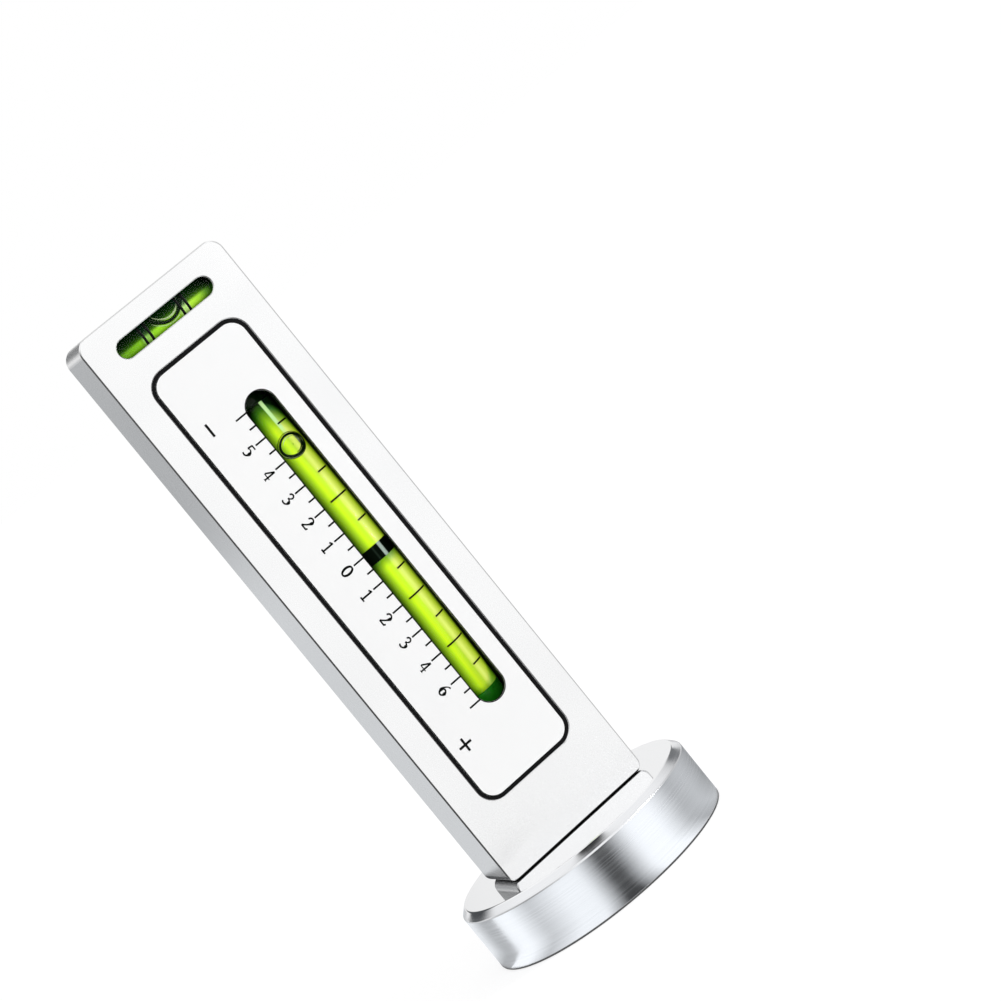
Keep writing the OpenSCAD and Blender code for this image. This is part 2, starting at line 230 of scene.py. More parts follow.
class Mat(Nodes):
    """A node material with one Principled shader."""

    def __init__(self, name, rough=0.5, metal=0.0, **sockets):
        self.m = bpy.data.materials.new(name)
        self.m.use_nodes = True
        super().__init__(self.m.node_tree, "Object")
        self.p = self.t.nodes["Principled BSDF"]
        self.p.inputs["Roughness"].default_value = rough
        self.p.inputs["Metallic"].default_value = metal
        for key, value in sockets.items():
            self.p.inputs[key.replace("_", " ")].default_value = value

    def colour(self, value):
        self.feed(self.p.inputs["Base Color"], value)

    def roughness(self, value):
        self.feed(self.p.inputs["Roughness"], value)

    def bump(self, height, depth, strength=1.0):
        """Bump whose full height is depth millimetres."""
        n = self.node("ShaderNodeBump")
        n.inputs["Strength"].default_value = strength
        n.inputs["Distance"].default_value = depth * MM
        self.feed(n.inputs["Height"], height)
        self.feed(self.p.inputs["Normal"], n.outputs["Normal"])

    def surface(self, value):
        """Shows another shader in place of the Principled one."""
        self.t.nodes.remove(self.p)
        self.feed(self.t.nodes["Material Output"].inputs["Surface"], value)
        return self.m


def grey(v, blue=0.0):
    """A grey of a value, which may lean a little to blue."""
    return (v * (1 - blue), v * (1 - blue / 2), v)


# Widths of the painted shade along the face's edges and of the painted dark crease line at the foot,
# and how high the painted shade above it reaches
EDGE_SHADE_W = 0.28
CREASE_SHADE_FOOT, CREASE_SHADE_TOP = 0.28, 0.42
SHADE_FOOT, SHADE_TOP = 0.3, 3.5


def satin_aluminium():
    """Blasted aluminium with painted shade: a dark crease on the cup, dark low sides and grey edges."""
    m = Mat("body_aluminium", metal=1.0)
    cloud = m.noise(26, 2.0)
    grain = m.noise(0.22, 2.0, rough=0.7)
    bright = m.mix(m.span(cloud, 0.3, 0.7), (0.93, 0.933, 0.938), (0.965, 0.967, 0.97))
    x, y, z = (m.axis(k) for k in "XYZ")
    on_face = m.math("LESS_THAN", y, (FACE_Y + EDGE_SHADE_W) * MM)
    # painted shade: grey lines along the left and top edges of the front face, where its bevels look
    # dark
    left_edge_shade = m.product(on_face, m.math("LESS_THAN", x, (EDGE_SHADE_W - BAR_HALF_W) * MM))
    top_edge_shade = m.product(on_face, m.math("GREATER_THAN", z, (END_Z - EDGE_SHADE_W) * MM), 0.35)
    edge_shaded = m.mix(top_edge_shade, m.mix(left_edge_shade, bright, grey(0.30)), grey(0.30))
    # painted shade on the sides, darker towards the cup
    low_side_shade = m.product(m.math("SUBTRACT", 1.0, on_face),
                         m.span(z, (CUP_H + SHADE_TOP) * MM, (CUP_H + SHADE_FOOT) * MM,
                                0.0, 0.75, smooth=True))
    # painted shade: a near black line in the crease where the bar meets the cup
    crease_shade = m.span(z, (CUP_H + CREASE_SHADE_TOP) * MM, (CUP_H + CREASE_SHADE_FOOT) * MM)
    m.colour(m.mix(crease_shade, m.mix(low_side_shade, edge_shaded, grey(0.18)), grey(0.008)))
    m.roughness(m.math("ADD", m.span(cloud, 0.3, 0.7, 0.24, 0.29),
                       m.span(grain, 0.3, 0.7, -0.03, 0.03)))
    m.bump(grain, 0.004, 0.5)
    return m.m


def plate_white():
    """A white face; below its face the plate is near black, which shows in the walls of the window."""
    m = Mat("plate_white", rough=0.34, Coat_Roughness=0.12)
    cloud = m.noise(18, 3.0)
    grain = m.noise(0.3, 2.0)
    face = m.mix(m.span(cloud, 0.3, 0.7), (0.966, 0.968, 0.970), (0.984, 0.985, 0.986))
    below_face = m.span(m.axis("Y"), (PLATE_Y + 0.08) * MM, (PLATE_Y + 0.12) * MM)
    m.colour(m.mix(below_face, face, (0.004, 0.008, 0.003)))
    m.feed(m.p.inputs["Specular IOR Level"], m.span(below_face, 0.0, 1.0, 0.5, 0.02))
    m.feed(m.p.inputs["Coat Weight"], m.span(below_face, 0.0, 1.0, 0.2, 0.0))
    m.roughness(m.math("ADD", m.span(grain, 0.3, 0.7, 0.30, 0.38), m.product(below_face, 0.4)))
    m.bump(grain, 0.002, 0.4)
    return m.m


def rubber_black():
    """Black rubber with a fine grain."""
    m = Mat("gasket_black", rough=0.6, Specular_IOR_Level=0.08)
    grain = m.noise(0.25, 3.0)
    m.colour(m.mix(grain, (0.002, 0.002, 0.002), (0.008, 0.008, 0.009)))
    m.roughness(m.span(grain, 0.3, 0.7, 0.5, 0.7))
    m.bump(grain, 0.02, 0.5)
    return m.m


def print_black():
    """Black ink."""
    m = Mat("print_black", rough=0.15, Specular_IOR_Level=0.08)
    grain = m.noise(0.12, 2.0)
    m.colour(m.mix(grain, (0.001, 0.002, 0.001), (0.005, 0.006, 0.005)))
    m.roughness(m.span(grain, 0.3, 0.7, 0.10, 0.2))
    return m.m


def cradle_green():
    """Dark green plastic of the cradle and the sleeve."""
    m = Mat("cradle_green", rough=0.5, Specular_IOR_Level=0.2)
    cloud = m.noise(3, 3.0)
    m.colour(m.mix(cloud, (0.008, 0.022, 0.003), (0.02, 0.045, 0.008)))
    m.bump(cloud, 0.02, 0.3)
    return m.m


def vial_glass(name, most_gloss):
    """Clear glass whose edges darken, as a round wall bends the light away."""
    m = Mat(name)
    facing = m.node("ShaderNodeLayerWeight")
    facing.inputs["Blend"].default_value = 0.5
    edge = m.span(facing.outputs["Facing"], 0.62, 0.98, smooth=True)
    wave = m.noise(2.5, 2.0)
    tint = m.mix(edge, m.mix(wave, (0.98, 1.0, 0.96), (0.95, 1.0, 0.93)), (0.03, 0.08, 0.015))
    gloss = m.shader("BsdfGlossy", Roughness=m.span(wave, 0.3, 0.7, 0.05, 0.08))
    share = m.math("MINIMUM", m.shader("Fresnel", IOR=1.45), most_gloss)
    return m.surface(m.blend(share, m.shader("BsdfTransparent", Color=tint), gloss))


def matt(name, colour_of):
    """Print with hardly any gloss of its own: the lights on it are painted into its colour."""
    m = Mat(name, rough=0.6, Specular_IOR_Level=0.02)
    m.colour(colour_of(m))
    return m.m


def glowing(name, colour_of):
    """Liquid that glows with its painted colour, light and shade included, a glow standing in for
    fluorescence, as well as it is lit.
    """
    m = Mat(name, rough=0.7, Specular_IOR_Level=0.0)
    colour = colour_of(m)
    m.colour(colour)
    # the painted colour glows as emission, so its painted light and shade show under any lamp
    m.feed(m.p.inputs["Emission Color"], colour)
    m.p.inputs["Emission Strength"].default_value = 0.55
    return m.m


# Heights on the camber liquid, in metres: where the painted shade of its ends starts and ends, and
# where the painted highlight line takes over at the top; then how fast the painted shade climbs at the
# sides
TOP_SHADE = (112.5 * MM, 119 * MM)
FOOT_SHADE = (45.4 * MM, 47.8 * MM)
TOP_LIGHT = (110 * MM, 113 * MM)
END_BOW = 240.0
BAND_SHADE = 2.4
# The green plugs turn from painted shade to painted light between these heights
PLUG_LIGHT = (50 * MM, 48 * MM)


def camber_colour(m):
    """Painted light and shade: bright core, dark sides and dark ends, as light gathers in a round vial.
    """
    x = m.axis("X")
    side = m.math("ADD", m.span(x, (VIAL_X - SEEN_R) * MM, (VIAL_X + SEEN_R) * MM),
                  m.span(m.noise(2.0, 2.0, stretch=(1, 1, 12)), 0.0, 1.0, -0.012, 0.012))
    # painted shading across: dark side, bright core, a duller valley, the painted highlight line, and
    # the other dark side
    across = m.ramp(side, [
        (0.0, (0.01, 0.03, 0.002)), (0.21, (0.045, 0.10, 0.005)), (0.33, (0.26, 0.46, 0.01)),
        (0.45, (0.53, 0.75, 0.01)), (0.58, (0.47, 0.66, 0.03)), (0.69, (0.88, 0.98, 0.21)),
        (0.85, (0.58, 0.76, 0.04)), (0.93, (0.21, 0.31, 0.01)), (0.985, (0.02, 0.04, 0.002))])
    # the painted shade of the ends reaches farther along the sides than along the middle
    z = m.axis("Z")
    bow = m.product(m.math("POWER", m.math("SUBTRACT", x, VIAL_X * MM), 2.0), END_BOW)
    top = m.ramp(m.span(m.math("ADD", z, bow), *TOP_SHADE), [
        (0.0, (1.0, 1.0, 1.0)), (0.43, (0.42, 0.60, 0.5)), (0.77, (0.06, 0.18, 0.2)),
        (1.0, (0.003, 0.01, 0.03))])
    foot = m.mix(m.span(m.math("SUBTRACT", z, bow), *FOOT_SHADE, smooth=True),
                 (0.3, 0.5, 0.3), (1.0, 1.0, 1.0))
    # painted shade in the liquid just below the black band
    under_band = m.product(m.span(z, (BAND_FOOT_Z - BAND_SHADE) * MM, BAND_FOOT_Z * MM, smooth=True),
                           m.math("LESS_THAN", z, (BAND_FOOT_Z + 1) * MM))
    below = m.mix(under_band, (1.0, 1.0, 1.0), (0.30, 0.45, 0.6))
    # painted highlight: the light of the room as it shines in the glass, painted also over the dark end
    shaded = m.scaled(across, top, foot, below)
    at_top = m.span(z, *TOP_LIGHT, smooth=True)
    return m.mix(m.product(painted_glint(m), at_top), shaded, (0.62, 0.93, 0.42))


def painted_glint(m):
    """A painted highlight: the narrow bright line along the glass, right of the vial's middle."""
    return m.span(m.off("X", VIAL_X + PAINTED_GLINT_SIDE), 0.54 * MM, 0.26 * MM, smooth=True)


def band_black(m):
    """The black band round the vial, with the same painted highlight line across it and a faint painted
    one.
    """
    grain = m.noise(0.12, 2.0)
    dark = m.mix(grain, (0.0006, 0.0025, 0.0008), (0.0015, 0.005, 0.002))
    faint_highlight = m.mix(m.span(m.off("X", VIAL_X - 0.5), 0.35 * MM, 0.0, smooth=True),
                  dark, (0.012, 0.022, 0.014))
    return m.mix(painted_glint(m), faint_highlight, (0.40, 0.50, 0.44))


def level_colour(m):
    """Painted shade and light: dark above and bright below, paler beside the ring lines, dark at the
    right end.
    """
    height = m.math("ADD", m.span(m.axis("Z"), (LEVEL_Z - 4) * MM, (LEVEL_Z + 4) * MM),
                    m.span(m.noise(1.5, 2.0, stretch=(14, 1, 1)), 0.0, 1.0, -0.01, 0.01))
    # painted shade above, where the slot's upper edge shades the liquid, and painted light below
    rows = m.ramp(height, [
        (0.0, (0.01, 0.03, 0.002)), (0.20, (0.02, 0.04, 0.002)), (0.33, (0.20, 0.42, 0.013)),
        (0.41, (0.21, 0.45, 0.016)), (0.48, (0.03, 0.09, 0.003)), (0.56, (0.004, 0.02, 0.001)),
        (0.66, (0.001, 0.008, 0.0006))])
    x = m.axis("X")
    # painted light and shade along the vial: brighter in its middle, dark at the right end
    along = m.ramp(m.span(x, -12.5 * MM, 12.5 * MM), [
        (0.0, (0.4, 0.5, 0.6)), (0.2, (0.75, 0.83, 0.9)), (0.4, (1.2, 1.2, 1.3)),
        (0.6, (1.3, 1.3, 1.5)), (0.72, (2.0, 1.6, 3.0)), (0.84, (1.3, 1.15, 2.0)),
        (0.91, (0.4, 0.5, 1.2)), (0.955, (0.03, 0.07, 0.2))])
    base = m.scaled(rows, along)
    # painted paler light beside the ring lines
    near = m.math("ABSOLUTE", m.math("SUBTRACT", m.math("ABSOLUTE", x), RING_PAIR_X * MM))
    painted_halo = m.span(near, 1.5 * MM, 0.9 * MM, smooth=True)
    return m.mix(painted_halo, base, m.scaled(base, (1.35, 1.15, 6.0)))


def bubble_air():
    """Painted lights on a bubble: pale and half clear."""
    m = Mat("bubble_air")
    wave = m.noise(1.5, 2.0)
    clear = m.shader("BsdfTransparent", Color=m.mix(wave, (1.0, 1.0, 0.97), (0.96, 1.0, 0.93)))
    pale = m.shader("BsdfDiffuse", Color=m.mix(wave, (0.78, 0.92, 0.5), (0.9, 0.97, 0.7)))
    return m.surface(m.blend(m.span(wave, 0.3, 0.7, 0.45, 0.65), clear, pale))


def bubble_lens():
    """The skin of a bubble: clear, with a soft gloss."""
    m = Mat("bubble_lens")
    wave = m.noise(1.5, 2.0)
    clear = m.shader("BsdfTransparent", Color=m.mix(wave, (1.0, 1.0, 0.98), (0.97, 1.0, 0.94)))
    gloss = m.shader("BsdfGlossy", Roughness=m.span(wave, 0.3, 0.7, 0.12, 0.2))
    return m.surface(m.blend(m.shader("Fresnel", IOR=1.33), clear, gloss))


def plug_green():
    """Green plugs with painted light and shade: the one at the foot is painted brighter, as in the
    light, than the one in shade.
    """
    m = Mat("plug_green", rough=0.3, Specular_IOR_Level=0.06)
    cloud = m.noise(1.2, 2.0)
    shade = m.mix(cloud, (0.001, 0.008, 0.001), (0.004, 0.02, 0.002))
    bright = m.mix(cloud, (0.010, 0.17, 0.006), (0.020, 0.28, 0.012))
    # painted shade at the top plug and the bubble rims, painted light at the foot plug
    m.colour(m.mix(m.span(m.axis("Z"), *PLUG_LIGHT), shade, bright))
    m.roughness(m.span(cloud, 0.3, 0.7, 0.25, 0.4))
    return m.m


def turned_steel():
    """Plated steel, turned: fine lines run round Z on its rim, and its top is polished."""
    m = Mat("plated_steel", metal=1.0, Anisotropic=0.75)
    tangent = m.node("ShaderNodeTangent", direction_type="RADIAL", axis="Z")
    m.feed(m.p.inputs["Tangent"], tangent.outputs[0])
    x, y, z = (m.axis(k) for k in "XYZ")
    rings = m.node("ShaderNodeCombineXYZ")
    m.feed(rings.inputs[0], m.math("SQRT", m.math("ADD", m.product(x, x), m.product(y, y))))
    m.feed(rings.inputs[2], z)
    line = m.node("ShaderNodeTexNoise")
    line.inputs["Scale"].default_value = 5200.0
    line.inputs["Detail"].default_value = 3.0
    m.feed(line.inputs["Vector"], rings.outputs[0])
    line = line.outputs["Fac"]
    cloud = m.noise(9, 3.0, stretch=(1, 1, 3))
    lines = m.mix(m.span(line, 0.3, 0.7), (0.84, 0.85, 0.87), (0.90, 0.91, 0.93))
    m.colour(m.mix(m.span(z, (CUP_H - 0.3) * MM, (CUP_H - 0.1) * MM), lines, (0.945, 0.95, 0.96)))
    # the top is polished, its bevel a little less, the rim is turned
    turned = m.math("ADD", m.span(line, 0.3, 0.7, 0.16, 0.26), m.span(cloud, 0.3, 0.7, -0.03, 0.03))
    polish = m.span(z, (CUP_H - 1.9) * MM, (CUP_H - 0.2) * MM)
    m.roughness(m.math("ADD", turned, m.product(polish, m.math("SUBTRACT", 0.07, turned))))
    m.bump(line, 0.002, 0.3)
    return m.m


def ferrite():
    """Ceramic magnet, dark and flecked."""
    m = Mat("magnet_ferrite", rough=0.5)
    fleck = m.noise(0.5, 4.0, rough=0.7)
    m.colour(m.mix(m.span(fleck, 0.35, 0.7), (0.05, 0.05, 0.055), (0.12, 0.12, 0.125)))
    m.roughness(m.span(fleck, 0.3, 0.7, 0.4, 0.6))
    m.bump(fleck, 0.02, 0.4)
    return m.m


def potting():
    """Black resin with shallow waves."""
    m = Mat("potting_black", rough=0.45)
    wave = m.noise(2.5, 3.0)
    m.colour(m.mix(wave, (0.018, 0.018, 0.02), (0.04, 0.04, 0.045)))
    m.bump(wave, 0.08, 0.4)
    return m.m


def screw_black():
    """Blackened steel with light wear."""
    m = Mat("screw_black", metal=1.0)
    wear = m.noise(1.5, 4.0)
    m.colour(m.mix(m.span(wear, 0.4, 0.75), (0.06, 0.06, 0.065), (0.16, 0.16, 0.17)))
    m.roughness(m.span(wear, 0.3, 0.7, 0.3, 0.45))
    m.bump(wear, 0.01, 0.4)
    return m.m


def pin_steel():
    """Ground steel with fine lines along the pins."""
    m = Mat("pin_steel", metal=1.0)
    line = m.noise(0.15, 2.0, stretch=(1, 1, 30))
    m.colour(m.mix(line, (0.55, 0.56, 0.58), (0.68, 0.69, 0.7)))
    m.roughness(m.span(line, 0.3, 0.7, 0.18, 0.3))
    return m.m


MATERIALS = {
    "body_aluminium": satin_aluminium(),
    "plate_white": plate_white(),
    "gasket_black": rubber_black(),
    "cradle_green": cradle_green(),
    "vial_glass": vial_glass("vial_glass", 0.010),
    "vial_liquid": glowing("vial_liquid", camber_colour),
    "plug_green": plug_green(),
    "print_black": print_black(),
    "bubble_air": bubble_air(),
    "plated_steel": turned_steel(),
    "magnet_ferrite": ferrite(),
    "potting_black": potting(),
    "screw_black": screw_black(),
    "pin_steel": pin_steel(),
}

for part in frame["record"]["subparts"]:
    o = nodes[part["node"]]
    o.data.materials.clear()
    o.data.materials.append(MATERIALS[part["material_slot"]])

LEVEL_GLASS = vial_glass("vial_glass_level", 0.008)
LEVEL_LIQUID = glowing("vial_liquid_level", level_colour)
BUBBLE_LENS = bubble_lens()
BAND_BLACK = matt("zero_band_black", band_black)


# ---------------------------------------------------------------- pieces

def piece(name, verts, faces, slot, body="gauge", smooth=True, replaces=(), look=None):
    """A mesh piece from millimetres, which rides on a body and may stand for CAD nodes."""
    mesh = bpy.data.meshes.new(name)
    mesh.from_pydata([[c * MM for c in v] for v in verts], [], faces)
    mesh.validate()
    for p in mesh.polygons:
        p.use_smooth = smooth
    mesh.materials.append(look or MATERIALS[slot])
    o = bpy.data.objects.new(name, mesh)
    bpy.context.scene.collection.objects.link(o)
    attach(o, body)
    if replaces:
        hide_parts(*replaces)


def full_turn(steps):
    """Angles once round, in radians."""
    return [2 * math.pi * k / steps for k in range(steps)]


def grid_faces(rows, columns):
    """Quads between rows of points, each row closed into a ring."""
    return [(r * columns + c, r * columns + (c + 1) % columns,
             (r + 1) * columns + (c + 1) % columns, (r + 1) * columns + c)
            for r in range(rows - 1) for c in range(columns)]


def capped(rings):
    """Vertices and faces of rings of points, closed by a flat face at both ends."""
    columns = len(rings[0])
    verts = [v for ring in rings for v in ring]
    faces = grid_faces(len(rings), columns)
    faces.append(tuple(reversed(range(columns))))
    faces.append(tuple(range((len(rings) - 1) * columns, len(rings) * columns)))
    return verts, faces


def on_arc(angle, rise, side):
    """Point of the camber vial: degrees of reading, then mm to the dial face and to the right."""
    a = math.radians(angle)
    return (VIAL_X + side, CURVE_Y - (CURVE_R + rise) * math.cos(a),
            ZERO_Z + (CURVE_R + rise) * math.sin(a))


def arc_rod(profile, around=96):
    """Rod along the camber vial: profile is a list of (degrees, radius)."""
    return capped([[on_arc(a, r * math.cos(t), r * math.sin(t)) for t in full_turn(around)]
                   for a, r in profile])


def level_rod(profile, around=96):
    """Rod along the level vial: profile is a list of (x, radius)."""
    return capped([[(x, LEVEL_Y - r * math.cos(t), LEVEL_Z + r * math.sin(t))
                    for t in full_turn(around)] for x, r in profile])


def rounded_ends(half, r, edge, steps=6, length=24):
    """Profile of a rod with rounded end edges: (place, radius) from -half to half."""
    turn = [(edge * (1 - math.sin(i / steps * math.pi / 2)),
             r - edge * (1 - math.cos(i / steps * math.pi / 2))) for i in range(steps, -1, -1)]
    left = [(-half + d, radius) for d, radius in turn]
    middle = [(-half + edge + (2 * half - 2 * edge) * i / length, r) for i in range(1, length)]
    right = [(half - d, radius) for d, radius in reversed(turn)]
    return left + middle + right


END_EDGE = 0.5
piece("camber_vial_glass",
      *arc_rod([(a * ARC_MM, r) for a, r in rounded_ends(TUBE_HALF, TUBE_R, END_EDGE, length=60)]),
      "vial_glass", replaces=["camber_tube"])
piece("camber_vial_liquid",
      *arc_rod([(ARC_MM * LIQUID_HALF * i / 30, SEEN_R) for i in range(-30, 31)]),
      "vial_liquid", replaces=["camber_fluid"])
for side, replaced in ((1, "camber_plug_top"), (-1, "camber_plug_bottom")):
    profile = [(side * a * ARC_MM, r) for a, r in
               [(LIQUID_HALF + 0.05, SEEN_R - 0.7), (LIQUID_HALF + 0.12, SEEN_R - 0.3),
                (LIQUID_HALF + 0.35, SEEN_R - 0.08), (LIQUID_HALF + 0.6, SEEN_R),
                (TUBE_HALF - 0.2, SEEN_R), (TUBE_HALF - 0.1, SEEN_R - 0.1)]]
    piece(replaced + "_seen", *arc_rod(profile[::side]), "plug_green", replaces=[replaced])

piece("level_vial_glass", *level_rod(rounded_ends(LEVEL_TUBE_HALF, TUBE_R, END_EDGE)),
      "vial_glass", look=LEVEL_GLASS, replaces=["level_tube"])
piece("level_vial_liquid",
      *level_rod([(LEVEL_LIQUID_HALF * i / 24, LEVEL_SEEN_R) for i in range(-24, 25)]),
      "vial_liquid", look=LEVEL_LIQUID, replaces=["level_fluid"])


def swept(points, radii, closed, around=12):
    """Vertices and faces of a round bar along points, whose radius changes along it."""
    n = len(points)
    verts = []
    for i, p in enumerate(points):
        a = points[(i - 1) % n if closed else max(i - 1, 0)]
        b = points[(i + 1) % n if closed else min(i + 1, n - 1)]
        along = (Vector(b) - Vector(a)).normalized()
        first = along.cross(Vector((0, -1, 0))).normalized()
        second = along.cross(first)
        verts += [tuple(Vector(p) + radii[i] * (first * math.cos(t) + second * math.sin(t)))
                  for t in full_turn(around)]
    faces = grid_faces(n, around)
    if closed:
        last = (n - 1) * around
        faces += [(last + k, last + (k + 1) % around, (k + 1) % around, k) for k in range(around)]
    else:
        faces.append(tuple(reversed(range(around))))
        faces.append(tuple(range((n - 1) * around, n * around)))
    return verts, faces


def joined(*shapes):
    """Vertices and faces of several shapes as one."""
    verts, faces = [], []
    for v, f in shapes:
        base = len(verts)
        verts += v
        faces += [tuple(i + base for i in face) for face in f]
    return verts, faces


RING_HALF_W = 0.28
RING_SLOPE = 0.03
rings = []
for side in (-1, 1):
    for x in (side * RING_PAIR_X - RING_HALF_GAP, side * RING_PAIR_X + RING_HALF_GAP):
        flat_half = RING_HALF_W - RING_SLOPE
        profile = [(x - RING_HALF_W, TUBE_R + SEAM), (x - flat_half, TUBE_R + BAND_LIFT),
                   (x + flat_half, TUBE_R + BAND_LIFT), (x + RING_HALF_W, TUBE_R + SEAM)]
        verts, faces = level_rod(profile, around=72)
        rings.append((verts, faces[:-2]))
piece("level_ring_bands", *joined(*rings), "print_black", replaces=["level_ring_lines"])

band_low, band_high = (math.degrees(math.asin((z - ZERO_Z) / (CURVE_R + TUBE_R)))
                       for z in (BAND_FOOT_Z, BAND_TOP_Z))
edge = 0.04 * ARC_MM
inner = [band_low + edge + (band_high - band_low - 2 * edge) * i / 8 for i in range(1, 8)]
verts, faces = arc_rod([(band_low, TUBE_R + SEAM), (band_low + edge, TUBE_R + BAND_LIFT)]
                       + [(a, TUBE_R + BAND_LIFT) for a in inner]
                       + [(band_high - edge, TUBE_R + BAND_LIFT), (band_high, TUBE_R + SEAM)])
piece("zero_band_seen", verts, faces[:-2], "print_black", look=BAND_BLACK, replaces=["zero_band"])

# Camber bubble: a dark ring of painted shade and thin painted lights wrapped on the liquid, and the
# bubble's clear skin.
# Its middle, then half sizes across and along the vial of its lines, and of its skin
BUBBLE_SIDE = 0.55
BUBBLE_READING = READING - 0.05
BUBBLE_RIM = (2.48, 2.24)
INNER_LINE, OUTER_LINE = (1.92, 1.74), (2.95, 2.68)
INNER_LIGHT, OUTER_LIGHT = (1.90, 1.72), (2.84, 2.58)
RIM_TOP_LIFT = 0.34
SKIN_HALF_SIDE, SKIN_HALF_ALONG = 2.2, 2.1
SKIN_LIFT, SKIN_RISE = 0.03, 0.16


def bubble_point(side, along, lift):
    """Point on the liquid, millimetres from the middle of the camber bubble."""
    s = BUBBLE_SIDE + side
    return on_arc(BUBBLE_READING + along / PITCH, math.sqrt(SEEN_R ** 2 - s ** 2) + lift, s)


def bubble_ring(half_side, half_along, radius_of, start=0, end=360, steps=96, lift=RIM_LIFT):
    """Oval line on the liquid, round the bubble or along a part of it, by angles in degrees."""
    closed = end - start >= 360
    count = steps if closed else steps + 1
    turns = [math.radians(start + (end - start) * k / steps) for k in range(count)]
    points = [bubble_point(half_side * math.cos(t), half_along * math.sin(t), lift) for t in turns]
    return swept(points, [radius_of(t) for t in turns], closed)


def fading(t0, t1, radius):
    """Radius of a crescent between two angles: full in its middle, fine at its ends."""
    a, b = math.radians(t0), math.radians(t1)
    return lambda t: max(0.02, radius * math.sin(math.pi * (t - a) / (b - a)) ** 0.7)


# painted shade: the bubble's dark ring and lines, where its edge turns the light away, as dark green
# pieces
piece("camber_bubble_rim", *joined(
    bubble_ring(*BUBBLE_RIM, lambda t: 0.30 + 0.06 * math.cos(t + 0.9)),
    bubble_ring(*INNER_LINE, fading(-100, 5, 0.13), start=-100, end=5),
    bubble_ring(*OUTER_LINE, lambda t: 0.07)),
    "plug_green", body="camber_bubble_body", replaces=["camber_bubble"])
# painted highlights on the bubble
piece("camber_bubble_lights", *joined(
    bubble_ring(*OUTER_LIGHT, fading(150, 330, 0.06), start=150, end=330),
    bubble_ring(*INNER_LIGHT, fading(35, 150, 0.16), start=35, end=150),
    bubble_ring(*BUBBLE_RIM, fading(-60, 10, 0.06), start=-60, end=10, lift=RIM_TOP_LIFT)),
    "bubble_air", body="camber_bubble_body")

rows, columns = 14, 64
skin = [[bubble_point(SKIN_HALF_SIDE * r / rows * math.cos(t), SKIN_HALF_ALONG * r / rows * math.sin(t),
                      SKIN_LIFT + SKIN_RISE * (1 - (r / rows) ** 2)) for t in full_turn(columns)]
        for r in range(1, rows + 1)]
piece("camber_bubble_skin", [v for ring in skin for v in ring],
      grid_faces(rows, columns) + [tuple(range(columns))],
      "bubble_air", body="camber_bubble_body", look=BUBBLE_LENS)

# Level bubble: it lies against the top of the tube, so its rim hangs in an arc
LEVEL_RIM_X = 1.4
LEVEL_RIM_Z = 146.3
LEVEL_RIM_R = 4.02


def level_point(x, z):
    """Point of a line on the level's liquid, on the side of the window."""
    rise = math.sqrt(max(LEVEL_SEEN_R ** 2 - (z - LEVEL_Z) ** 2, 0.0)) + RIM_LIFT
    return (x, LEVEL_Y - rise, z)


def level_arc(radius, radius_of, start, end, steps=72):
    """Arc on the liquid under the middle of the level bubble, between angles in degrees."""
    turns = [math.radians(start + (end - start) * k / steps) for k in range(steps + 1)]
    points = [level_point(LEVEL_RIM_X + radius * math.cos(t), LEVEL_RIM_Z + radius * math.sin(t))
              for t in turns]
    return swept(points, [radius_of(t) for t in turns], False)


# painted shade: the bubble's dark rim, where its edge turns the light away, as a dark green arc
piece("level_bubble_rim", *level_arc(LEVEL_RIM_R, lambda t: 0.37, -190, 10),
      "plug_green", body="level_bubble_body", replaces=["level_bubble"])
# painted highlights beside the rim
piece("level_bubble_lights", *joined(
    level_arc(LEVEL_RIM_R - 0.66, fading(-165, -15, 0.20), -165, -15),
    level_arc(LEVEL_RIM_R + 0.60, fading(-150, -30, 0.14), -150, -30)),
    "bubble_air", body="level_bubble_body")


def lathe(profile, around=256):
    """Vertices and faces of a closed ring about Z, from a closed (radius, z) profile."""
    rows = len(profile)
    verts = [(r * math.cos(t), r * math.sin(t), z) for t in full_turn(around) for r, z in profile]
    faces = [(k * rows + i, ((k + 1) % around) * rows + i,
              ((k + 1) % around) * rows + (i + 1) % rows, k * rows + (i + 1) % rows)
             for k in range(around) for i in range(rows)]
    return verts, faces


def filleted(corners, steps=5, guard=0.06):
    """Closed profile whose corners (r, z, fillet radius) are rounded.

    A guard point stands beside each corner, so that the flats between them shade flat.
    """
    out = []
    n = len(corners)
    for i, (r, z, f) in enumerate(corners):
        p = Vector((r, z))
        a = (Vector(corners[i - 1][:2]) - p).normalized()
        b = (Vector(corners[(i + 1) % n][:2]) - p).normalized()
        if f == 0:
            out += [tuple(p + a * guard), (r, z), tuple(p + b * guard)]
            continue
        half = a.angle(b) / 2
        reach = f / math.tan(half)
        start, end = p + a * reach, p + b * reach
        centre = p + (a + b).normalized() * (f / math.sin(half))
        out.append(tuple(start + a * guard))
        for k in range(steps + 1):
            t = k / steps
            q = start.lerp(end, t) - centre
            out.append(tuple(centre + q.normalized() * f))
        out.append(tuple(end + b * guard))
    return out


CUP_FILLET = 0.5
piece("magnet_cup_shell", *lathe(filleted([
    (CUP_INNER_R, 0.0, 0.2), (CUP_R, 0.0, CUP_FILLET), (CUP_R, CUP_H - CUP_BEVEL, CUP_FILLET),
    (CUP_R - CUP_BEVEL, CUP_H, CUP_FILLET), (CUP_HOLE_R, CUP_H, 0), (CUP_HOLE_R, CUP_INNER_H, 0),
    (CUP_INNER_R, CUP_INNER_H, 0)])),
    "plated_steel", replaces=["magnet_cup"])


# ---------------------------------------------------------------- print

def outline_area(outline):
    """Twice the signed area inside an outline of (x, z) points."""
    return sum(a[0] * b[1] - b[0] * a[1] for a, b in zip(outline, outline[1:] + outline[:1]))


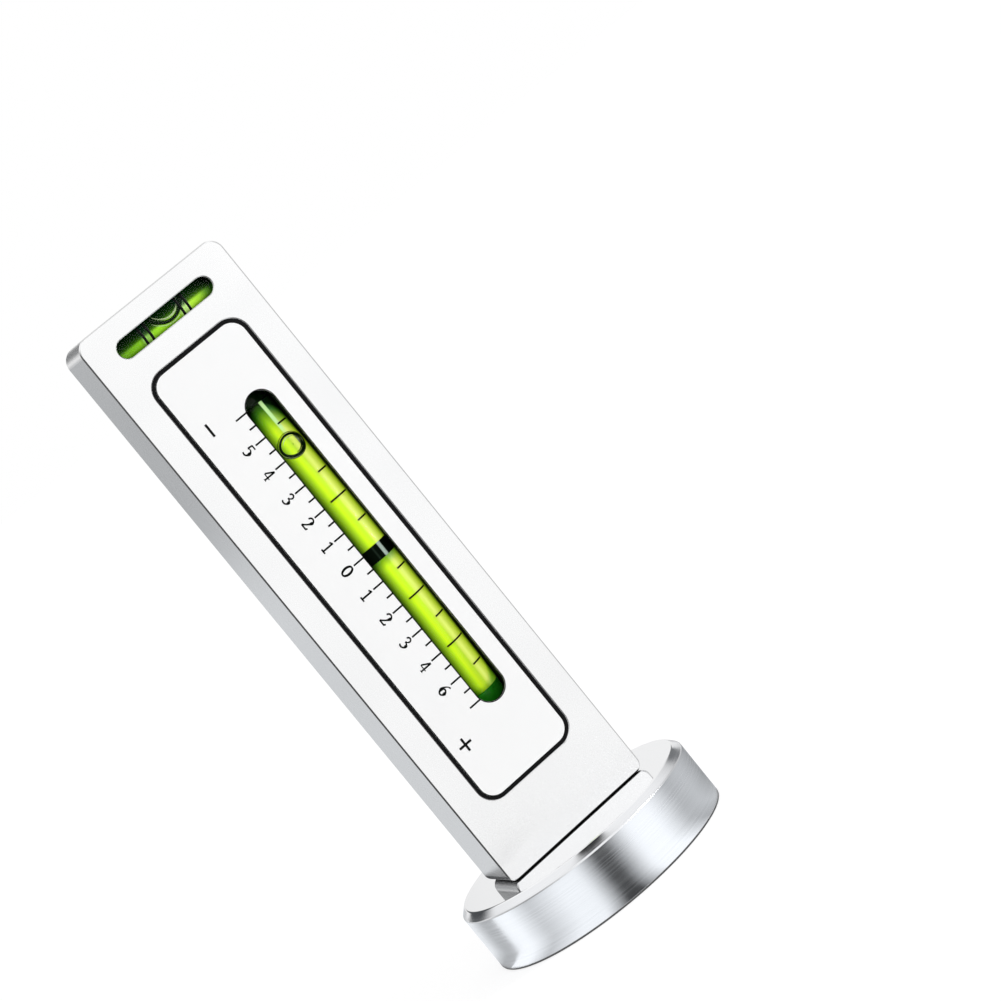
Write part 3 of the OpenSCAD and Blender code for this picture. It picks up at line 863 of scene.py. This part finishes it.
def flat(name, outlines):
    """Print on the plate: each outline is a list of (x, z) millimetres."""
    verts, faces = [], []
    for outline in outlines:
        if outline_area(outline) < 0:
            outline = outline[::-1]
        n, k = len(outline), len(verts)
        verts += [(x, PLATE_Y - PRINT_LIFT, z) for x, z in outline]
        verts += [(x, PLATE_Y - 0.001, z) for x, z in outline]
        faces.append(tuple(range(k, k + n)))
        faces.append(tuple(reversed(range(k + n, k + 2 * n))))
        faces += [(k + (i + 1) % n, k + i, k + n + i, k + n + (i + 1) % n) for i in range(n)]
    piece(name, verts, faces, "print_black", smooth=False)


def bar(x0, z0, x1, z1, width):
    """Outline of a straight line of a width."""
    d = Vector((x1 - x0, z1 - z0)).normalized() * (width / 2)
    return [(x0 - d.y, z0 + d.x), (x0 + d.y, z0 - d.x), (x1 + d.y, z1 - d.x), (x1 - d.y, z1 + d.x)]


def stroke(points, widths, steps=8):
    """Outlines of a smooth stroke through points, whose width changes along it."""
    n = len(points)
    line = []
    for i in range(n - 1):
        p0, p1 = points[max(i - 1, 0)], points[i]
        p2, p3 = points[i + 1], points[min(i + 2, n - 1)]
        for k in range(steps if n > 2 else 1):
            t = k / steps if n > 2 else 0
            line.append((*[0.5 * (2 * b + (c - a) * t + (2 * a - 5 * b + 4 * c - d) * t * t
                                  + (3 * b - a - 3 * c + d) * t ** 3)
                           for a, b, c, d in zip(p0, p1, p2, p3)],
                         widths[i] + (widths[i + 1] - widths[i]) * t))
    line.append((*points[-1], widths[-1]))
    left, right = [], []
    for i, (x, y, w) in enumerate(line):
        a, b = line[max(i - 1, 0)], line[min(i + 1, len(line) - 1)]
        d = Vector((b[0] - a[0], b[1] - a[1])).normalized() * (w / 2)
        left.append((x - d.y, y + d.x))
        right.append((x + d.y, y - d.x))
    return [[left[i], left[i + 1], right[i + 1], right[i]] for i in range(len(line) - 1)]


def glyph(strokes):
    """Outlines of a digit, which stands in a box 0.64 wide and 1 high."""
    return [quad for points, widths in strokes for quad in stroke(points, widths)]


GLYPH_W = 0.64
THIN, THICK = 0.125, 0.26
round_once = [2 * math.pi * k / 12 for k in range(13)]
DIGITS = {
    "0": [([(0.32 + 0.25 * math.sin(a), 0.49 + 0.45 * math.cos(a)) for a in round_once],
           [THIN + 0.06 * abs(math.sin(a)) for a in round_once])],
    "1": [([(0.34, 0.03), (0.34, 0.97)], [0.14, 0.14]),
          ([(0.13, 0.80), (0.24, 0.87), (0.36, 0.95)], [THIN, THIN, 0.08]),
          ([(0.14, 0.03), (0.55, 0.03)], [THIN, THIN])],
    "2": [([(0.09, 0.72), (0.16, 0.88), (0.32, 0.95), (0.48, 0.87), (0.51, 0.70), (0.40, 0.45),
            (0.22, 0.22), (0.07, 0.07)], [THIN, THIN, THIN, 0.11, THICK, 0.12, THIN, THIN]),
          ([(0.06, 0.06), (0.52, 0.06)], [0.12, 0.12]), ([(0.52, 0.02), (0.59, 0.20)], [THIN, THIN])],
    "3": [([(0.10, 0.78), (0.18, 0.91), (0.32, 0.95), (0.44, 0.87), (0.46, 0.74), (0.38, 0.60),
            (0.24, 0.53)], [THIN, THIN, THIN, 0.11, 0.13, 0.09, THIN]),
          ([(0.24, 0.53), (0.42, 0.47), (0.52, 0.32), (0.48, 0.14), (0.32, 0.04), (0.17, 0.05),
            (0.08, 0.12)], [THIN, 0.10, THICK, 0.12, THIN, THIN, 0.11])],
    "4": [([(0.41, 0.97), (0.05, 0.33)], [THIN, THIN]), ([(0.04, 0.30), (0.60, 0.30)], [0.08, 0.08]),
          ([(0.42, 0.02), (0.42, 0.97)], [0.13, 0.13]), ([(0.30, 0.02), (0.54, 0.02)], [0.05, 0.05])],
    "5": [([(0.15, 0.91), (0.53, 0.91)], [0.11, 0.11]), ([(0.16, 0.93), (0.12, 0.54)], [THIN, THIN]),
          ([(0.12, 0.54), (0.28, 0.61), (0.44, 0.54), (0.51, 0.35), (0.45, 0.14), (0.28, 0.04),
            (0.09, 0.08)], [THIN, 0.07, 0.12, THICK, 0.12, THIN, 0.11])],
    "6": [([(0.53, 0.94), (0.32, 0.84), (0.16, 0.62), (0.11, 0.36), (0.17, 0.12), (0.32, 0.04),
            (0.47, 0.12), (0.52, 0.31), (0.45, 0.50), (0.30, 0.55), (0.13, 0.44)],
           [THIN, 0.08, 0.12, THICK, 0.13, THIN, 0.12, THICK, 0.11, THIN, THIN])],
}


def placed(outlines, x, z, height):
    """Turns glyph outlines so that their tops point right and they read down, round (x, z)."""
    return [[(x + (v - 0.5) * height, z - (u - GLYPH_W / 2) * height) for u, v in outline]
            for outline in outlines]


TICK_START_X = 0.45
LONG_TICK_X, SHORT_TICK_X = -2.2, -1.2
TICK_W = 0.36
ticks = []
for i in range(-12, 13):
    z = ZERO_Z + i * PITCH / 2
    ticks.append(bar(TICK_START_X, z, SHORT_TICK_X if i % 2 else LONG_TICK_X, z, TICK_W))
flat("plate_ticks", ticks)

# A black line printed along the plate's edge, and one round the window
PLATE_CORNER_R = 3.5
WINDOW_W, WINDOW_H, WINDOW_BORDER_R = 6.5, 77.5, 3.4
LINE = 0.2


def rounded_outline(x, z, w, h, r, steps=10):
    """Outline of a round-cornered rectangle round (x, z)."""
    return [(x + sx * (w / 2 - r) + r * math.cos(math.radians(a + 90 * k / steps)),
             z + sz * (h / 2 - r) + r * math.sin(math.radians(a + 90 * k / steps)))
            for sx, sz, a in ((1, 1, 0), (-1, 1, 90), (-1, -1, 180), (1, -1, 270))
            for k in range(steps + 1)]


def border(name, x, z, w, h, r):
    """A printed line inside a round-cornered rectangle."""
    outer = rounded_outline(x, z, w, h, r)
    inner = rounded_outline(x, z, w - 2 * LINE, h - 2 * LINE, r - LINE)
    n = len(outer)
    flat(name, [[outer[i], outer[(i + 1) % n], inner[(i + 1) % n], inner[i]] for i in range(n)])


border("plate_border", 0, (PLATE_FOOT_Z + PLATE_TOP_Z) / 2, 2 * PLATE_HALF_W,
       PLATE_TOP_Z - PLATE_FOOT_Z, PLATE_CORNER_R)
border("window_border", VIAL_X, ZERO_Z, WINDOW_W + 2 * LINE, WINDOW_H + 2 * LINE, WINDOW_BORDER_R)

NUMBER_X = -3.9
NUMBER_H = 2.7
numbers = []
for i, digit in zip(range(5, -6, -1), "54321012346"):
    numbers += placed(glyph(DIGITS[digit]), NUMBER_X, ZERO_Z + i * PITCH, NUMBER_H)
flat("plate_numbers", numbers)

# A minus above and a plus below the scale; the plus leaves its crossing to its upright
MINUS_X, MINUS_Z = -7.4, 120.9
PLUS_X, PLUS_Z = -7.6, 41.3
SIGN_HALF, SIGN_LINE = 1.5, 0.5
flat("plate_signs", [
    bar(MINUS_X, MINUS_Z + SIGN_HALF, MINUS_X, MINUS_Z - SIGN_HALF, SIGN_LINE),
    bar(PLUS_X, PLUS_Z + SIGN_HALF, PLUS_X, PLUS_Z - SIGN_HALF, SIGN_LINE),
    bar(PLUS_X - SIGN_HALF, PLUS_Z, PLUS_X - SIGN_LINE / 2, PLUS_Z, SIGN_LINE),
    bar(PLUS_X + SIGN_LINE / 2, PLUS_Z, PLUS_X + SIGN_HALF, PLUS_Z, SIGN_LINE)])

# Marks printed on the camber vial's glass, long at every second degree; the bubble and the
# black band stand where the missing ones would be
MARK_DEGREES = (-5, -4, -3, -2, -1, 1, 2, 3, 5)
SHORT_MARK, LONG_MARK, MARK_END = 0.9, -1.1, 3.3
half = 0.18 * ARC_MM
count = 14
marks_v, marks_f = [], []
for i in MARK_DEGREES:
    start = SHORT_MARK if i % 2 else LONG_MARK
    base = len(marks_v)
    for k in range(count + 1):
        side = start + (MARK_END - start) * k / count
        rise = math.sqrt((TUBE_R + PRINT_LIFT) ** 2 - side ** 2)
        marks_v += [on_arc(i - half, rise, side), on_arc(i + half, rise, side)]
    marks_f += [(base + 2 * k, base + 2 * k + 2, base + 2 * k + 3, base + 2 * k + 1)
                for k in range(count)]
piece("vial_marks", marks_v, marks_f, "print_black")


# ---------------------------------------------------------------- camera

# Found by fitting the photo's edges and scale: the three axes of the picture and the eye's place
right = Vector((0.72616141, -0.28888683, -0.62388621))
up = Vector((0.62721793, -0.09328965, 0.77323652))
ahead = Vector((0.28157997, 0.95280714, -0.11345166))
eye = Vector((-0.1501478576, -0.61583543138, 0.14580519908))

scene = bpy.context.scene
camera = bpy.data.objects.new("camera", bpy.data.cameras.new("camera"))
camera.data.lens = 115.213
camera.data.sensor_width = 36.0
camera.data.clip_start = 0.01
camera.data.clip_end = 20.0
camera.matrix_world = (Matrix.Translation(eye)
                       @ Matrix((right, up, -ahead)).transposed().to_4x4())
scene.collection.objects.link(camera)
scene.camera = camera
scene.view_settings.view_transform = "Standard"


# ---------------------------------------------------------------- studio

def radial(m):
    """Azimuth as 0 to 1, with -180 degrees at 0."""
    n = m.node("ShaderNodeTexGradient", gradient_type="RADIAL")
    m.feed(n.inputs[0], m.at)
    return n.outputs["Fac"]


def turn(azimuth):
    """The place of an azimuth in degrees on that scale."""
    return azimuth / 360 + 0.5


def turns(*azimuths):
    """The places of several azimuths."""
    return [turn(a) for a in azimuths]


def world():
    """The room round the gauge, which lights it and shows in its metal; white to the camera."""
    w = bpy.data.worlds.new("studio")
    scene.world = w
    w.use_nodes = True
    w.node_tree.nodes.clear()
    m = Nodes(w.node_tree, "Generated")
    azimuth = radial(m)
    z = m.axis("Z")
    walls = m.ramp(azimuth, [(turn(a), grey(v)) for a, v in (
        (-180, 0.45), (-168, 0.30), (-150, 0.45), (-125, 0.95), (-60, 0.98), (-25, 0.72), (0, 0.56),
        (30, 0.60), (60, 0.90), (130, 0.88), (150, 0.60), (180, 0.45))])
    # the low wall behind is grey, so that the left side of the bar is
    low = m.product(m.span(z, 0.09, 0.03, smooth=True), m.window(azimuth, *turns(84, 98, 130, 150)))
    walls = m.mix(low, walls, grey(0.46, 0.05))
    ceiling = m.mix(m.span(z, 0.35, 0.8, smooth=True), walls, grey(0.97))
    # dark flags high at the back left and the back right, and a small one overhead
    left_flag = m.product(m.window(azimuth, *turns(77, 87, 116, 130)),
                          m.window(z, 0.15, 0.22, 0.52, 0.66))
    right_flag = m.product(m.window(azimuth, *turns(22, 36, 58, 66)),
                           m.window(z, 0.16, 0.22, 0.38, 0.55))
    flagged = m.mix(right_flag, m.mix(left_flag, ceiling, grey(0.08, 0.1)), grey(0.20, 0.06))
    squeezed = m.node("ShaderNodeVectorMath", operation="MULTIPLY")
    m.feed(squeezed.inputs[0], m.at)
    squeezed.inputs[1].default_value = (0.45, 1.0, 1.0)
    spot = m.node("ShaderNodeVectorMath", operation="DISTANCE")
    m.feed(spot.inputs[0], squeezed.outputs[0])
    spot.inputs[1].default_value = (0.0, -0.208, 0.978)
    studio = m.mix(m.span(spot.outputs["Value"], 0.09, 0.05, smooth=True), flagged, grey(0.03))
    path = m.node("ShaderNodeLightPath")
    seen = m.mix(path.outputs["Is Camera Ray"], studio, (1.0, 1.0, 1.0))
    m.feed(m.node("ShaderNodeOutputWorld").inputs["Surface"], m.shader("Background", Color=seen))


world()


def stage_piece(name, verts, faces, material):
    """A mesh of the studio, in metres."""
    mesh = bpy.data.meshes.new(name)
    mesh.from_pydata(verts, [], faces)
    mesh.materials.append(material)
    o = bpy.data.objects.new(name, mesh)
    scene.collection.objects.link(o)
    return o


def floor():
    """White to the camera, pale to diffuse light, and a floor of its own to polished metal."""
    m = Mat("floor_pale")
    white = m.node("ShaderNodeAddShader")
    m.feed(white.inputs[0], m.shader("BsdfDiffuse", Color=(0.35, 0.35, 0.35, 1)))
    m.feed(white.inputs[1], m.shader("Emission", Strength=0.72))
    plain = m.shader("BsdfDiffuse", Color=(0.58, 0.58, 0.58, 1))
    # metal sees it white in front, grey behind, dark at the left and next to the foot
    azimuth = radial(m)
    reach = m.node("ShaderNodeVectorMath", operation="LENGTH")
    m.feed(reach.inputs[0], m.at)
    reach = reach.outputs["Value"]
    sides = m.ramp(azimuth, [(turn(a), grey(v)) for a, v in (
        (-180, 0.35), (-170, 0.20), (-163, 0.06), (-156, 0.20), (-145, 0.40), (-20, 0.60),
        (30, 0.52), (60, 0.70), (150, 0.45), (180, 0.35))])
    front = m.mix(m.span(reach, 0.25, 0.9), grey(0.94), grey(1.0))
    back = m.ramp(m.span(reach, 0.0, 2.0), [(d, grey(v, 0.05)) for d, v in (
        (0.30, 0.68), (0.52, 0.78), (0.62, 0.62), (0.72, 0.50), (0.80, 0.42))])
    in_front = m.window(azimuth, *turns(-135, -118, -48, -28))
    behind = m.window(azimuth, *turns(55, 72, 130, 150))
    beyond_foot = m.span(reach, (CUP_R + 0.7) * MM, (CUP_R + 1.3) * MM)
    around = m.mix(behind, m.mix(in_front, sides, front), back)
    shown = m.shader("Emission", Color=m.mix(beyond_foot, grey(0.10), around))
    path = m.node("ShaderNodeLightPath")
    mirrored = m.blend(path.outputs["Is Glossy Ray"], plain, shown)
    seen = m.math("MAXIMUM", path.outputs["Is Camera Ray"], path.outputs["Is Transmission Ray"])
    size, z = 6.0, -0.00002
    stage_piece("floor", [(-size, -size, z), (size, -size, z), (size, size, z), (-size, size, z)],
                [(0, 1, 2, 3)], m.surface(m.blend(seen, mirrored, white.outputs[0])))


floor()


# A low card round the disc, which only metal shows: it gives the rim its light and dark bands
CARD_GAP, CARD_FOOT = 1.1, 0.1
CARD_R = 40.0
CARD_TOP = 10.3
# The azimuth in which the camera looks, and how much the rim's steel gives back of the card
VIEW_AZIMUTH = 73.5
STEEL_SHARE = 0.87
WHITE, PALE, SILVER, GREY, DIM, BLACK = 1.0, 0.93, 0.55, 0.42, 0.28, 0.05
# light and dark bands round the rim: (azimuth on the rim, tone)
RIM_BANDS = [(-182, PALE), (-169, GREY), (-157, WHITE), (-150, WHITE), (-139, SILVER), (-124, PALE),
             (-113, PALE), (-104, BLACK), (-98, BLACK), (-87, WHITE), (-74, WHITE), (-60, GREY),
             (-47, SILVER), (-35, GREY), (-24, DIM)]


def card_azimuth(phi):
    """Azimuth at which the card is seen in the rim's mirror at azimuth phi."""
    d = math.radians(phi + 180 - VIEW_AZIMUTH)
    t = -CUP_R * math.cos(d) + math.sqrt(CARD_R ** 2 - (CUP_R * math.sin(d)) ** 2)
    return phi + math.degrees(math.atan2(t * math.sin(d), CUP_R + t * math.cos(d)))


def card():
    """A ring on the floor and a low wall round it, which shine with the rim's bands."""
    m = Mat("card")
    stops = [(card_azimuth(phi), v) for phi, v in RIM_BANDS]
    stops = sorted((a + 360 if a < -180 else a, v) for a, v in stops)
    colour = m.ramp(radial(m), [(turn(a), grey(v / STEEL_SHARE, 0.05)) for a, v in stops])
    rings = [(CUP_R + CARD_GAP, CARD_FOOT), (CARD_R, CARD_FOOT), (CARD_R, CARD_TOP)]
    around = full_turn(180)
    verts = [(r * MM * math.cos(t), r * MM * math.sin(t), z * MM) for r, z in rings for t in around]
    o = stage_piece("card", verts, grid_faces(len(rings), len(around)),
                    m.surface(m.shader("Emission", Color=colour)))
    for kind in ("camera", "diffuse", "shadow", "transmission", "volume_scatter"):
        setattr(o, "visible_" + kind, False)


card()


def lamp(name, azimuth, elevation, distance, width, height, watts):
    """A rectangular light that looks at the middle of the gauge."""
    data = bpy.data.lights.new(name, "AREA")
    data.shape = "RECTANGLE"
    data.size = width
    data.size_y = height
    data.energy = watts
    o = bpy.data.objects.new(name, data)
    a, e = math.radians(azimuth), math.radians(elevation)
    aim = Vector((0, 0, END_Z / 2 * MM))
    o.location = aim + distance * Vector((math.cos(a) * math.cos(e), math.sin(a) * math.cos(e),
                                          math.sin(e)))
    o.rotation_euler = (aim - o.location).to_track_quat("-Z", "Y").to_euler()
    scene.collection.objects.link(o)


lamp("strip", azimuth=-42.5, elevation=4, distance=0.7, width=0.085, height=0.8, watts=3.0)
